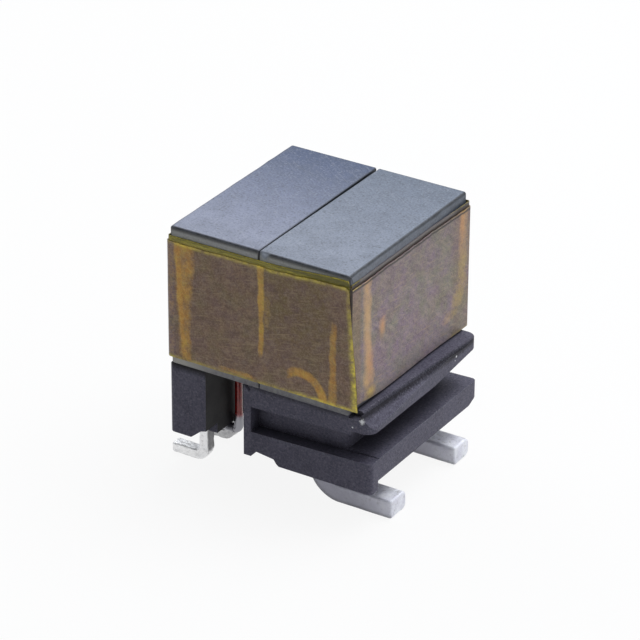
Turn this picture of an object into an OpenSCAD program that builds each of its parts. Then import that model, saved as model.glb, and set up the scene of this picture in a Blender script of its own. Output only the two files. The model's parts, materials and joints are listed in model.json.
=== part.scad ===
// Current sense transformer on a two-half ferrite core, standing on formed solder feet.
// Millimetres, +Z up. The origin is the middle of the footprint, on the board plane.
// X runs along the core axis, from the fine terminals to the heavy feet. Y runs along the terminal rows.

/* [Core] */
// length of the closed core, along X
core_l = 10.4; // [10:0.05:11]
// width of the core, along Y
core_w = 11.25; // [10.9:0.05:11.6]
// height of the core
core_h = 7.65; // [7.4:0.05:8]
// diameter of the round centre post
post_d = 3.3; // [3:0.05:3.4]
// diameter of the round part of the winding space
cavity_d = 9.4; // [9.3:0.05:9.8]
// thickness of each end wall, along X
end_wall = 1.35; // [1.2:0.05:1.4]
// height of the post axis above the open underside
post_rise = 1.85; // [1.75:0.05:2]
// flat on each upright outer edge
edge_flat = 0.14; // [0.08:0.02:0.2]
// flat on each top edge
top_flat = 0.1; // [0.06:0.02:0.2]
// flat on the edges where the halves meet
seam_flat = 0.05; // [0.02:0.01:0.08]

/* [Coil former] */
// width of both terminal blocks, along Y
block_w = 10.5; // [10.3:0.05:10.8]
// depth of the fine terminal block below the core
block_h = 4.2; // [4:0.05:4.5]
// depth of the heavy terminal block below the core
skirt_h = 4.32; // [4.2:0.02:4.5]
// length of the fine terminal block, along X
near_block_l = 2.2; // [2.1:0.02:2.3]
// reach of the fine terminal block past the core end
near_reach = 0.42; // [0.36:0.02:0.48]
// flat along the top outer edge of the fine terminal block
near_flat = 0.36; // [0.2:0.02:0.4]
// reach of the heavy terminal block past the core end
far_reach = 1.1; // [1:0.05:1.3]
// length of the side arms of the heavy block, along X
arm_l = 7.45; // [7.2:0.05:7.6]
// thickness of the side arms, along Y
arm_t = 1.25; // [1.15:0.05:1.3]
// height of the rim over the end wall
rim_h = 0.98; // [0.9:0.02:1.1]
// height of the channel in the end wall
end_channel_h = 1.57; // [1.5:0.01:1.65]
// height of the lip over the channel of each side arm, at its pillar
lip_h = 1.38; // [1.2:0.02:1.5]
// height of the channel of each side arm
channel_h = 1.43; // [1.3:0.01:1.5]
// rise of that channel from its pillar to the end wall
channel_rise = 0.22; // [0:0.02:0.26]
// depth of the channel on the two side arms
channel_side = 0.8; // [0.6:0.05:0.9]
// depth of the channel on the end wall
channel_end = 1.8; // [1.6:0.05:1.9]
// distance from the end face to the end of the deep lip on the front arm
lip_stop = 1.2; // [1:0.05:1.4]
// length of the full-height pillar that closes each channel
pillar_l = 0.42; // [0.3:0.02:0.6]
// height of the clearance under the end wall
end_lift = 0.54; // [0.4:0.02:0.6]
// length of the relief under the rim at the rear end, along Y
rim_relief_l = 4.4; // [4:0.1:5]
// height of that relief
rim_relief_h = 0.4; // [0.2:0.02:0.44]
// length of the relief under the end wall at the rear end, along Y
foot_relief_l = 0.8; // [0.6:0.05:1]
// height of that relief
foot_relief_h = 0.34; // [0.2:0.02:0.4]
// thickness of the skirt in front of the end wall, along Y
skirt_t = 0.7; // [0.6:0.05:0.8]
// length of the arch in each skirt
arch_l = 1.5; // [1.3:0.05:1.7]
// height of the arch in each skirt
arch_h = 0.46; // [0.4:0.02:0.6]
// corner radius of the upper rim
rim_r = 0.6; // [0.5:0.05:0.8]
// radius of the other corners of the blocks
flange_r = 0.3; // [0.2:0.05:0.4]
// length of the corner notch at each end of the fine block, along X
notch_l = 0.9; // [0.7:0.05:0.95]
// height of that notch
notch_h = 0.58; // [0.4:0.02:0.7]
// depth of that notch, along Y
notch_d = 1.05; // [0.8:0.05:1.1]
// distance from the core end to the slanted groove in the rim, at the front
groove_off = 0.36; // [0.3:0.02:0.4]
// width of the groove in the rim
groove_w = 0.24; // [0.2:0.02:0.3]
// depth of the groove in the rim
groove_h = 0.14; // [0.08:0.02:0.2]
// length of rim behind the place where the groove runs out of its end face, along Y
groove_stop = 1.35; // [1.2:0.05:1.5]
// length of the pocket where the groove opens to the front, along Y
pocket_l = 0.45; // [0.4:0.05:0.6]
// width of that pocket, along X
pocket_w = 0.7; // [0.6:0.02:0.76]
// depth of that pocket
pocket_h = 0.3; // [0.2:0.05:0.4]
// length of the nick in the front upper corner of the pillar
nick_l = 0.6; // [0.5:0.05:0.7]
// width of the square edge that cuts the nick
nick_w = 0.14; // [0.1:0.01:0.16]
// wall of the round tube
tube_wall = 0.5; // [0.4:0.02:0.55]
// thickness of the two flanges inside the core
flange_t = 0.38; // [0.3:0.02:0.45]
// clearance of the tube around the post
post_gap = 0.1; // [0.05:0.01:0.15]
// clearance of the flanges inside the core
flange_gap = 0.05; // [0.03:0.01:0.1]
// clearance of the flanges under the round roof of the core
roof_gap = 0.2; // [0.1:0.05:0.3]

/* [Heavy turn] */
// thickness of the heavy conductor
bar_t = 1.04; // [1:0.01:1.1]
// width of the heavy conductor
bar_w = 1.5; // [1.4:0.01:1.54]
// flat on the long edges of the heavy conductor
bar_flat = 0.14; // [0.08:0.01:0.2]
// distance between the two heavy feet, centre to centre
bar_pitch = 6.3; // [6.2:0.02:6.4]
// outer radius of the bend into each heavy foot
bar_r = 1.85; // [1.7:0.05:2]
// distance from the middle of the core to the inner side of the heavy legs
bar_x = 1.8; // [1.7:0.02:1.9]

/* [Fine terminals] */
// thickness of a terminal, along X
pin_t = 0.6; // [0.56:0.01:0.64]
// width of a terminal, along Y
pin_w = 0.65; // [0.6:0.01:0.7]
// flat on the long edges of a terminal
pin_flat = 0.06; // [0.04:0.01:0.08]
// distance between neighbouring terminals
pin_pitch = 2.5; // [2.4:0.02:2.54]
// outer radius of the bend into each foot
pin_r = 0.8; // [0.75:0.05:0.9]
// distance from the block face to the terminal, along X
pin_inset = 0.64; // [0.58:0.02:0.7]
// length of a terminal inside the block
pin_grip = 2.9; // [2.5:0.1:3.2]

/* [Footprint] */
// length over all feet, along X
foot_span = 13.04; // [12.9:0.02:13.2]
// distance from the middle of the footprint to the middle of the core
core_shift = 0.16; // [0.1:0.01:0.22]
// height of the core underside above the board
stand_h = 6.24; // [6.1:0.02:6.4]

/* [Winding] */
// outer diameter of the wound coil
coil_d = 7.7; // [7.3:0.1:7.8]
// clearance between coil and tube
coil_gap = 0.04; // [0.02:0.01:0.08]
// clearance between coil and heavy turn
turn_gap = 0.2; // [0.1:0.05:0.4]
// diameter of the enamelled wire
wire_d = 0.4; // [0.34:0.02:0.44]
// clearance between wire and block
wire_gap = 0.08; // [0.02:0.01:0.1]
// distance of each lead from the middle, along Y
lead_y = 2.64; // [2.56:0.02:2.7]
// distance of the lead tails below the block
tail_drop = 0.15; // [0.1:0.01:0.2]
// thickness of the insulating band over the coil
band_t = 0.1; // [0.06:0.02:0.14]
// clearance between coil and insulating band
band_gap = 0.03; // [0.02:0.01:0.05]
// clearance around a lead where it leaves the band
exit_gap = 0.12; // [0.08:0.02:0.2]
// height of each solder joint on its terminal
joint_h = 0.28; // [0.2:0.02:0.34]
// clearance of a solder joint around the wire
joint_gap = 0.01; // [0.005:0.005:0.02]

/* [Core tape] */
// thickness of the tape
tape_t = 0.07; // [0.05:0.01:0.09]
// spacing between the two layers of tape
tape_gap = 0.01; // [0.005:0.005:0.02]
// width of the tape, upright on the core
tape_h = 6.74; // [6.5:0.02:6.9]
// height of the tape's lower edge above the core underside
tape_z = 0.42; // [0.35:0.01:0.5]

/* [Hidden] */
$fn = 64;
eps = 0.01;
half_l = core_l / 2;
half_w = core_w / 2;
window = half_l - end_wall;
cavity_r = cavity_d / 2;
post_r = post_d / 2;
bore_r = post_r + post_gap;
tube_r = bore_r + tube_wall;
flange_out = window - flange_gap;
flange_in = flange_out - flange_t;
flange_dr = cavity_r - roof_gap;
block_y = block_w / 2;
near_x0 = -half_l - near_reach;
near_x1 = near_x0 + near_block_l;
far_x1 = half_l + far_reach;
far_x0 = far_x1 - arm_l;
arm_y = block_y - arm_t;
leg_x1 = bar_x + bar_t;
channel_bot = -rim_h - end_channel_h;
web_y = block_y - channel_side;
web_x = far_x1 - channel_end;
end_bot = end_lift - skirt_h;
arch_open = 2 * pillar_l;
arch_x0 = far_x0 + arch_open / 2;
arch_foot = arch_h / 4;
arch_far = 0.72 * arch_h;
arch_rise = 0.22 * arch_l;
arch_fall = 0.9 * arch_l;
arch_end = 1.1 * arch_l;
notch_rise = notch_h / 7;
pin_count = 4;
lip_x = far_x1 - lip_stop;
groove_run = block_w - groove_stop;
groove_side = far_reach - groove_off;
groove_turn = atan(groove_side / groove_run);
groove_over = block_w / 10;
fall_h = 1.35 * groove_side;
nick_turn = 54;
turn_r = bar_pitch / 2;
bar_reach = foot_span / 2 + core_shift - bar_x;
pin_x1 = near_x1 - pin_inset;
pin_reach = foot_span / 2 - core_shift + pin_x1;
coil_r = coil_d / 2;
coil_x0 = -flange_in;
coil_x1 = bar_x - turn_gap;
band_r0 = coil_r + band_gap;
band_r1 = band_r0 + band_t;
wire_r = wire_d / 2;
lead_x = near_x1 + wire_gap + wire_r;
lead_turn = wire_r + wire_gap;
tail_z = -block_h - lead_turn - tail_drop;
tail_x = pin_x1 - pin_t / 2;
pin_face = pin_pitch / 2 + pin_w / 2;
tail_turn = lead_y - pin_face - joint_h - wire_r / 2;
joint_r = pin_t / 2 - joint_gap;
joint_waist = 0.86 * joint_r;
joint_mid = 0.4 * joint_h;
lead_top = post_rise - sqrt(pow(coil_r, 2) - pow(lead_y, 2)) + wire_d;
layer = tape_t + tape_gap;

// places a child whose own frame has its origin in the middle of the core underside
module at_core() {
    translate([-core_shift, 0, stand_h]) children();
}

// rectangle about the origin with the four corners cut flat
module cut_rect(a, b, c) {
    polygon([[a / 2 - c, -b / 2], [a / 2, c - b / 2], [a / 2, b / 2 - c], [a / 2 - c, b / 2],
        [c - a / 2, b / 2], [-a / 2, b / 2 - c], [-a / 2, c - b / 2], [c - a / 2, -b / 2]]);
}

// plate between two corners; the corners at the larger X have radius ra in front and rb at the rear
module round_plate(x0, x1, y, z0, z1, ra, rb) {
    m = max(ra, rb);
    translate([x0, -y, z0]) cube([x1 - x0 - m, 2 * y, z1 - z0]);
    translate([x1 - m - eps, ra - y, z0]) cube([m + eps, 2 * y - ra - rb, z1 - z0]);
    translate([x1 - m - eps, -y, z0]) cube([m + eps - ra, ra + eps, z1 - z0]);
    translate([x1 - m - eps, y - rb - eps, z0]) cube([m + eps - rb, rb + eps, z1 - z0]);
    translate([x1 - ra, ra - y, z0]) cylinder(h = z1 - z0, r = ra);
    translate([x1 - rb, y - rb, z0]) cylinder(h = z1 - z0, r = rb);
}

// upright leg that turns through a quarter circle into a foot along +X, standing on z = 0
module bent_lead(t, w, c, r, top, reach) {
    translate([t / 2, 0, r]) linear_extrude(height = top - r) cut_rect(t, w, c);
    translate([r, 0, r]) rotate([90, 0, 0]) rotate([0, 0, 180]) rotate_extrude(angle = 90)
        translate([r - t / 2, 0]) cut_rect(t, w, c);
    translate([r, 0, t / 2]) rotate([90, 0, 90]) linear_extrude(height = reach - r) cut_rect(w, t, c);
}

// outside of one core half, between the seam at x = 0 and the end face
module half_block() {
    e = edge_flat;
    s = seam_flat;
    t = top_flat;
    intersection() {
        linear_extrude(height = core_h)
            polygon([[0, s - half_w], [s, -half_w], [half_l - e, -half_w], [half_l, e - half_w],
                [half_l, half_w - e], [half_l - e, half_w], [s, half_w], [0, half_w - s]]);
        rotate([90, 0, 90]) linear_extrude(height = half_l)
            polygon([[-half_w, 0], [half_w, 0], [half_w, core_h - t], [half_w - t, core_h],
                [t - half_w, core_h], [-half_w, core_h - t]]);
        translate([0, half_w, 0]) rotate([90, 0, 0]) linear_extrude(height = core_w)
            polygon([[0, 0], [half_l, 0], [half_l, core_h - t], [half_l - t, core_h], [s, core_h],
                [0, core_h - s]]);
    }
}

// one core half: closed top, sides and end, open underside, round post on the end wall
module core_half() {
    difference() {
        half_block();
        translate([-eps, 0, post_rise]) rotate([0, 90, 0]) cylinder(h = window + eps, r = cavity_r);
        translate([-eps, -cavity_r, -eps]) cube([window + eps, cavity_d, post_rise + eps]);
    }
    translate([0, 0, post_rise]) rotate([0, 90, 0]) cylinder(h = window + end_wall / 2, r = post_r);
}

module core_half_right() {
    color([0.30, 0.34, 0.38]) at_core() core_half();
}

module core_half_left() {
    color([0.30, 0.34, 0.38]) at_core() mirror([1, 0, 0]) core_half();
}

// block for the fine terminals, with a notch under each end of its inner face
module near_block() {
    difference() {
        mirror([1, 0, 0]) round_plate(-near_x1, -near_x0, block_y, -block_h, 0, flange_r, flange_r);
        for (s = [-1, 1])
            translate([near_x1, s * (block_y + eps), -block_h]) rotate([90, 0, 0])
                linear_extrude(height = 2 * (notch_d + eps), center = true)
                    polygon([[eps, -eps], [eps, notch_h], [-notch_l / 3, notch_h - notch_rise],
                        [-notch_l, 0], [-notch_l, -eps]]);
        translate([near_x0, block_y + eps, 0]) rotate([90, 0, 0])
            linear_extrude(height = block_w + 2 * eps)
                polygon([[-eps, eps], [-eps, -near_flat], [0, -near_flat], [near_flat, 0],
                    [near_flat, eps]]);
        for (i = [0:pin_count - 1])
            pin_at(i);
    }
}

// outline of a side channel, from the pillar to past the end wall, drawn in X and Z
module channel_side_view() {
    x = arm_l - pillar_l;
    top = channel_rise - lip_h;
    polygon([[0, -lip_h], [0, -lip_h - channel_h], [x, top - channel_h], [x + eps, top - channel_h],
        [x + eps, top], [x, top]]);
}

// block for the heavy feet: two side arms and an end wall with a channel all round
module far_block() {
    difference() {
        union() {
            round_plate(far_x0, far_x1, block_y, -rim_h, 0, rim_r, rim_r);
            round_plate(far_x0, web_x, web_y, channel_bot - eps, eps - rim_h, flange_r, flange_r);
            round_plate(far_x0, far_x1, block_y, end_bot, channel_bot, flange_r, flange_r);
            for (s = [-1, 1])
                translate([far_x0, s > 0 ? arm_y : -block_y, -skirt_h])
                    cube([leg_x1 - far_x0 + eps, arm_t, skirt_h]);
            translate([leg_x1, -block_y, -lip_h]) cube([lip_x - leg_x1, channel_side + eps, lip_h]);
            translate([leg_x1, -block_y, -skirt_h])
                cube([far_x1 - flange_r - leg_x1, skirt_t, end_lift + eps]);
            translate([far_x1 - flange_r - eps, flange_r - block_y, -skirt_h])
                cube([flange_r + eps, skirt_t - flange_r, end_lift + eps]);
            translate([far_x1 - flange_r, flange_r - block_y, -skirt_h])
                cylinder(h = end_lift + eps, r = flange_r);
        }
        // open middle for the coil and the heavy legs
        translate([far_x0 - eps, -arm_y, -skirt_h - eps])
            cube([leg_x1 - far_x0 + eps, 2 * arm_y, skirt_h + 2 * eps]);
        // channel along each side arm, past the pillar
        for (s = [-1, 1])
            translate([far_x0 + pillar_l, s * block_y, 0]) rotate([90, 0, 0])
                linear_extrude(height = 2 * channel_side, center = true) channel_side_view();
        // arch under each skirt
        for (s = [-1, 1])
            translate([arch_x0, s * block_y, -skirt_h]) rotate([90, 0, 0])
                linear_extrude(height = 2 * (arm_t + eps), center = true)
                    polygon([[-arch_open, -eps], [-arch_open, arch_foot], [0, arch_foot],
                        [arch_rise, arch_h], [arch_fall, arch_far], [arch_l, arch_foot],
                        [arch_end, 0], [arch_end, -eps]]);
        // reliefs under the rim and under the end wall, at the rear end
        translate([web_x - eps, block_y, -rim_h]) rotate([90, 0, 90])
            linear_extrude(height = channel_end + 2 * eps)
                polygon([[-rim_relief_l, 0], [-rim_relief_l, -eps], [eps, -eps], [eps, rim_relief_h]]);
        translate([leg_x1 - eps, block_y, end_bot]) rotate([90, 0, 90])
            linear_extrude(height = far_x1 - leg_x1 + 2 * eps)
                polygon([[-foot_relief_l, 0], [-foot_relief_l, -eps], [eps, -eps],
                    [eps, foot_relief_h]]);
        // slanted groove along the rim, with the rim falling away outside it, and a pocket at its front end
        translate([far_x1, block_y - groove_stop, 0]) rotate([0, 0, -groove_turn])
            translate([0, groove_over, 0]) rotate([90, 0, 0])
                linear_extrude(height = groove_run + 2 * groove_over)
                    polygon([[-groove_w / 2, eps], [-groove_w / 2, 0], [0, -groove_h], [groove_w / 2, 0],
                        [groove_w / 2 + groove_side, -fall_h], [groove_w / 2 + groove_side, eps]]);
        translate([half_l + groove_off + groove_w / 2 - pocket_w, -block_y - eps, -pocket_h])
            cube([pocket_w, pocket_l + eps, pocket_h + eps]);
        // nick across the front upper corner of the pillar
        translate([far_x0, -block_y, 0]) rotate([0, nick_turn, 0]) rotate([45, 0, 0])
            translate([-nick_l / 2, -nick_w / 2, -nick_w / 2]) cube([1.5 * nick_l, nick_w, nick_w]);
    }
}

// tube, two flanges and both terminal blocks, moulded in one piece
module coil_former() {
    color([0.13, 0.13, 0.17]) at_core() difference() {
        union() {
            near_block();
            far_block();
            translate([-flange_out, 0, post_rise]) rotate([0, 90, 0])
                cylinder(h = 2 * flange_out, r = tube_r);
            for (x = [-flange_out, flange_in])
                translate([x, 0, post_rise]) rotate([0, 90, 0]) cylinder(h = flange_t, r = flange_dr);
        }
        translate([-flange_out - eps, 0, post_rise]) rotate([0, 90, 0])
            cylinder(h = 2 * flange_out + 2 * eps, r = bore_r);
    }
}

// heavy conductor: one turn over the tube, two legs, two feet
module primary_turn() {
    color([0.78, 0.79, 0.80]) at_core() {
        translate([bar_x + bar_t / 2, 0, post_rise]) rotate([90, 0, 90]) rotate_extrude(angle = 180)
            translate([turn_r, 0]) cut_rect(bar_w, bar_t, bar_flat);
        for (s = [-1, 1])
            translate([bar_x, s * turn_r, -stand_h])
                bent_lead(bar_t, bar_w, bar_flat, bar_r, stand_h + post_rise, bar_reach);
    }
}

// fine terminal number i, counted along +Y
module pin_at(i) {
    translate([pin_x1, (i - (pin_count - 1) / 2) * pin_pitch, -stand_h]) mirror([1, 0, 0])
        bent_lead(pin_t, pin_w, pin_flat, pin_r, stand_h - block_h + pin_grip, pin_reach);
}

module pin_1() {
    color([0.80, 0.81, 0.82]) at_core() pin_at(0);
}

module pin_2() {
    color([0.80, 0.81, 0.82]) at_core() pin_at(1);
}

module pin_3() {
    color([0.80, 0.81, 0.82]) at_core() pin_at(2);
}

module pin_4() {
    color([0.80, 0.81, 0.82]) at_core() pin_at(3);
}

// quarter ring of wire, from +X to +Y about the origin
module wire_turn(r) {
    rotate_extrude(angle = 90) translate([r, 0]) circle(r = wire_r);
}

// lead from the coil down the inner face of the block, under its edge and square onto a terminal
module lead() {
    translate([lead_x, -lead_y, tail_z + lead_turn])
        cylinder(h = lead_top - tail_z - lead_turn, r = wire_r);
    translate([lead_x - lead_turn, -lead_y, tail_z + lead_turn]) rotate([-90, 0, 0]) wire_turn(lead_turn);
    translate([tail_x + tail_turn, -lead_y, tail_z]) rotate([0, 90, 0])
        cylinder(h = lead_x - lead_turn - tail_x - tail_turn, r = wire_r);
    translate([tail_x + tail_turn, tail_turn - lead_y, tail_z]) rotate([0, 0, 180]) wire_turn(tail_turn);
    translate([tail_x, tail_turn - lead_y, tail_z]) rotate([-90, 0, 0])
        cylinder(h = lead_y - tail_turn - pin_face, r = wire_r);
}

// coil wound on the tube, with its two leads
module secondary_winding() {
    color([0.45, 0.07, 0.06]) at_core() {
        difference() {
            translate([coil_x0, 0, post_rise]) rotate([0, 90, 0])
                cylinder(h = coil_x1 - coil_x0, r = coil_r);
            translate([coil_x0 - eps, 0, post_rise]) rotate([0, 90, 0])
                cylinder(h = coil_x1 - coil_x0 + 2 * eps, r = tube_r + coil_gap);
        }
        lead();
        mirror([0, 1, 0]) lead();
    }
}

// insulating band over the coil, notched where the leads come out
module winding_tape() {
    exit_l = lead_x + wire_r + exit_gap - coil_x0;
    exit_h = block_h + post_rise - coil_r / 2;
    color([0.80, 0.66, 0.30]) at_core() difference() {
        translate([coil_x0, 0, post_rise]) rotate([0, 90, 0])
            cylinder(h = coil_x1 - coil_x0, r = band_r1);
        translate([coil_x0 - eps, 0, post_rise]) rotate([0, 90, 0])
            cylinder(h = coil_x1 - coil_x0 + 2 * eps, r = band_r0);
        for (s = [-1, 1])
            translate([coil_x0 - eps, s * lead_y - wire_r - exit_gap, -block_h])
                cube([exit_l, wire_d + 2 * exit_gap, exit_h]);
    }
}

// solder joint: a collar that narrows from the terminal face up the wire
module joint() {
    translate([tail_x, -pin_face, tail_z]) rotate([90, 0, 0]) rotate_extrude()
        polygon([[wire_r + joint_gap, 0], [joint_r, 0], [joint_waist, joint_mid],
            [wire_r + 3 * joint_gap, joint_h], [wire_r + joint_gap, joint_h]]);
}

module solder_start() {
    color([0.74, 0.75, 0.77]) at_core() joint();
}

module solder_finish() {
    color([0.74, 0.75, 0.77]) at_core() mirror([0, 1, 0]) joint();
}

// corner i of the wrap, counted from the front right; the second round lies one layer further out
function wrap_x(i) = i % 4 < 2 ? 1 : -1;
function wrap_y(i) = (i % 4 == 0 || i % 4 == 3) ? -1 : 1;
function wrap_corner(i, d) = [wrap_x(i) * (half_l + (i > 3 ? layer : 0) + d),
    wrap_y(i) * (half_w + (i > 4 ? layer : 0) + d)];

// one strip of tape wound twice round the core, from the right side to its free end on the front
module core_tape() {
    last = 7;
    start = [half_l, tape_gap - half_w];
    tail = [half_l + layer + tape_t, -half_w - layer];
    color([0.45, 0.36, 0.22]) at_core() translate([0, 0, tape_z]) linear_extrude(height = tape_h)
        polygon(concat([start], [for (i = [1:last]) wrap_corner(i, 0)], [tail, tail - [0, tape_t]],
            [for (i = [last:-1:1]) wrap_corner(i, tape_t)], [start + [tape_t, 0]]));
}

core_half_left();
core_half_right();
coil_former();
primary_turn();
secondary_winding();
winding_tape();
pin_1();
pin_2();
pin_3();
pin_4();
solder_start();
solder_finish();
core_tape();
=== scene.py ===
"""Current sense transformer: a ferrite core pair wrapped in film, on a coil former with tinned feet."""

import json
import math
from types import SimpleNamespace

import bmesh
import bpy
import numpy as np
from mathutils import Matrix, Vector


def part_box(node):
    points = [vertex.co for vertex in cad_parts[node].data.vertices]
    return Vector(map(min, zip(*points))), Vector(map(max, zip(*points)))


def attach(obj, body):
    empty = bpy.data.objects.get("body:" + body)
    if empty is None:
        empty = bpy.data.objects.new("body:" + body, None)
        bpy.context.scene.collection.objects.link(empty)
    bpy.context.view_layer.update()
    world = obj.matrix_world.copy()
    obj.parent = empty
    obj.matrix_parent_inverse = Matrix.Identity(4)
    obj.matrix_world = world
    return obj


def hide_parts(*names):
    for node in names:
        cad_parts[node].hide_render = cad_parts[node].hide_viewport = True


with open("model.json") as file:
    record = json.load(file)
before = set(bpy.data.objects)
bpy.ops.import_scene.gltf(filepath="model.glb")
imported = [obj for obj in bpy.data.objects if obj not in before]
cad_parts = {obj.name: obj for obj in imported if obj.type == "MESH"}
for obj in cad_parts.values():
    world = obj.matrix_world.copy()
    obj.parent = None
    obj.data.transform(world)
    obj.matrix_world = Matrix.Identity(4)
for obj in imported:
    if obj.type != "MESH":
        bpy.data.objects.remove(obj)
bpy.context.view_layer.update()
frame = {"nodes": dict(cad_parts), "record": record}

# Lengths in this script are millimetres; meshes are written in metres
MM = 0.001
BODY = "root"


def corners(node):
    """Lowest and highest corner of a CAD node, in millimetres."""
    low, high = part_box(node)
    return np.array(low) / MM, np.array(high) / MM


# Core: the seam, the outer faces, the post, the winding space and the rounding of the edges
SEAM_X = corners("core_half_left")[1][0]
RIGHT_LOW, RIGHT_HIGH = corners("core_half_right")
CORE_Z = RIGHT_LOW[2]
CORE_TOP = RIGHT_HIGH[2]
CORE_H = CORE_TOP - CORE_Z
HALF_L = RIGHT_HIGH[0] - SEAM_X
HALF_W = RIGHT_HIGH[1]
POST_RISE = 1.85
POST_R = 1.65
CAVITY_R = 4.7
WINDOW = 3.85
CORE_EDGE = 0.13
SEAM_EDGE = 0.08
END_EDGE = 0.15
SEAM_GAP = 0.02
SEAM_OPEN = 0.055

# Film on the core: its limits, its thickness, the step from one turn to the next and its bend at a corner
TAPE_BOTTOM, TAPE_TOP = (corner[2] for corner in corners("core_tape"))
FILM_T = 0.052
FILM_STEP = 0.066
FILM_BEND = 0.07

# Coil and its leads
COIL_BOTTOM = corners("secondary_winding")[0][2]
BAND_LOW, BAND_HIGH = corners("winding_tape")
WIRE_R = 0.2
COIL_BORE_R = 2.29
BAND_WALL = 0.13
LEAD_Y = 2.64
LEAD_TURN = 0.28
LEAD_X = BAND_LOW[0] + LEAD_TURN
JOINT_H = 0.28
TINNED_Z = 2.5

# Heavy turn and fine terminals
BAR_LOW, BAR_HIGH = corners("primary_turn")
BAR_T = 1.04
BAR_BEND = 1.85
MOUNTS = {mount["name"]: np.array(mount["pos_m"]) / MM for mount in frame["record"]["mounts"]}
BAR_Y = abs(MOUNTS["heavy_foot_front"][1])
BAR_W = 2 * (BAR_HIGH[1] - BAR_Y)
PIN_T = 0.6
PIN_BEND = 0.8

# Rounding of the moulding's edges, and its small painted glints: place and radius
MOULD_EDGE = 0.06
PAINTED_GLINTS = ((5.56, -5.25, 5.95, 0.17), (5.05, -5.25, 5.48, 0.05), (6.14, 3.02, 5.98, 0.06),
          (6.14, 2.9, 5.8, 0.035))
# The groove in the moulding's rim, along which shade is painted: two points on its outer lip
GROOVE = ((5.58, -5.25, 6.16), (6.16, 3.9, 6.16))


# Mesh helpers


def grid_quads(rows, columns):
    """Quads of a grid of points numbered row by row, with its last column joined to the first."""
    row, column = np.meshgrid(np.arange(rows - 1), np.arange(columns), indexing="ij")
    here, right = row * columns + column, row * columns + (column + 1) % columns
    return np.stack([here, right, right + columns, here + columns], -1).reshape(-1, 4)


def joined(parts):
    """One point array and one quad array from several, each with its own numbering."""
    starts = np.cumsum([0] + [len(points) for points, quads in parts])
    points = np.concatenate([points for points, quads in parts])
    return points, np.concatenate([quads + start for start, (_, quads) in zip(starts, parts)])


def tube(rings):
    """Closed surface of an array of rings: a grid of quads, with the end rings drawn in to their middles."""
    middles = rings[[0, -1]].mean(1, keepdims=True) * np.ones((1, rings.shape[1], 1))
    rings = np.concatenate([middles[:1], rings, middles[1:]])
    return rings.reshape(-1, 3), grid_quads(rings.shape[0], rings.shape[1])


def on_tube(values, end=1):
    """A mark's values in the order of a tube's points; end is the share of the value on its two end rings."""
    return np.concatenate([end * values[0], values.reshape(-1), end * values[-1]])


def unit(vectors):
    """The same vectors, each of length one."""
    return vectors / np.linalg.norm(vectors, axis=-1, keepdims=True)


def quarter(count):
    """Angles of points along a quarter circle."""
    return np.linspace(0, math.pi / 2, count)


def spread(path, count):
    """The same path with count points at equal distances along it."""
    length = np.concatenate([[0], np.cumsum(np.linalg.norm(np.diff(path, axis=0), axis=1))])
    even = np.linspace(0, length[-1], count)
    return np.stack([np.interp(even, length, path[:, k]) for k in range(path.shape[1])], -1)


def rounded_loop(half_a, half_b, far, near, count):
    """Rounded rectangle about the origin: four quarter circles, of radius far or near by side, joined by
    straight sides and spread evenly to count points."""
    loop = []
    for number, (a, b, radius) in enumerate(((1, 1, far), (-1, 1, near), (-1, -1, near), (1, -1, far))):
        angle = quarter(9) + number * math.pi / 2
        centre = np.array([a * (half_a - radius), b * (half_b - radius)])
        loop.append(centre + radius * np.stack([np.cos(angle), np.sin(angle)], -1))
    return spread(np.concatenate(loop + [loop[0][:1]]), count + 1)[:-1]


def circles(radius, sides):
    """Points on circles, one row for each radius: radius * cosine and radius * sine."""
    around = np.linspace(0, 2 * math.pi, sides, endpoint=False)
    return np.outer(radius, np.cos(around)), np.outer(radius, np.sin(around))


def ripple(points, wavelength, seed):
    """Smooth unevenness between about -1 and 1: twice the mean of plane sine waves in random directions, with
    lengths from 0.6 to 1.6 times wavelength."""
    random = np.random.default_rng(seed)
    count = 14
    waves = unit(random.normal(size=(count, points.shape[-1])))
    waves *= 2 * math.pi / (wavelength * random.uniform(0.6, 1.6, (count, 1)))
    return np.sin(points @ waves.T + random.uniform(0, 2 * math.pi, count)).mean(-1) * 2


def step(value, start, end):
    """Smooth step from 0 at start to 1 at end."""
    t = np.clip((value - start) / (end - start), 0, 1)
    return t * t * (3 - 2 * t)


def bell(value, middle, half):
    """Bell curve: 1 at the middle, about a third at half away from it."""
    return np.exp(-((value - middle) / half) ** 2)


def add_piece(name, node, slot, finish, points, quads, marks=None, sharp_angle=60):
    """Puts a closed, smooth mesh with its marks in the place of a CAD node, its doubles merged."""
    mesh = bpy.data.meshes.new(name)
    mesh.from_pydata((points * MM).tolist(), [], quads.tolist())
    for mark, values in (marks or {}).items():
        mesh.attributes.new(mark, "FLOAT", "POINT").data.foreach_set("value", values.astype(np.float32))
    work = bmesh.new()
    work.from_mesh(mesh)
    bmesh.ops.remove_doubles(work, verts=work.verts, dist=1e-8)
    bmesh.ops.dissolve_degenerate(work, edges=work.edges, dist=1e-9)
    bmesh.ops.recalc_face_normals(work, faces=work.faces)
    for face in work.faces:
        face.smooth = True
    work.to_mesh(mesh)
    work.free()
    mesh.set_sharp_from_angle(angle=math.radians(sharp_angle))
    settle(name, mesh, node, finish)


def settle(name, mesh, node, finish):
    """Makes a mesh a piece with its finish and its body, in the place of a CAD node."""
    mesh.materials.clear()
    mesh.materials.append(finish)
    piece = bpy.data.objects.new(name, mesh)
    bpy.context.scene.collection.objects.link(piece)
    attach(piece, BODY)
    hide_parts(node)


# Materials


def tone(red, green, blue):
    """Linear colour of an 8-bit display colour."""
    shown = np.array([red, green, blue]) / 255
    linear = np.where(shown <= 0.04045, shown / 12.92, ((shown + 0.055) / 1.055) ** 2.4)
    return (*linear.tolist(), 1.0)


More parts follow.
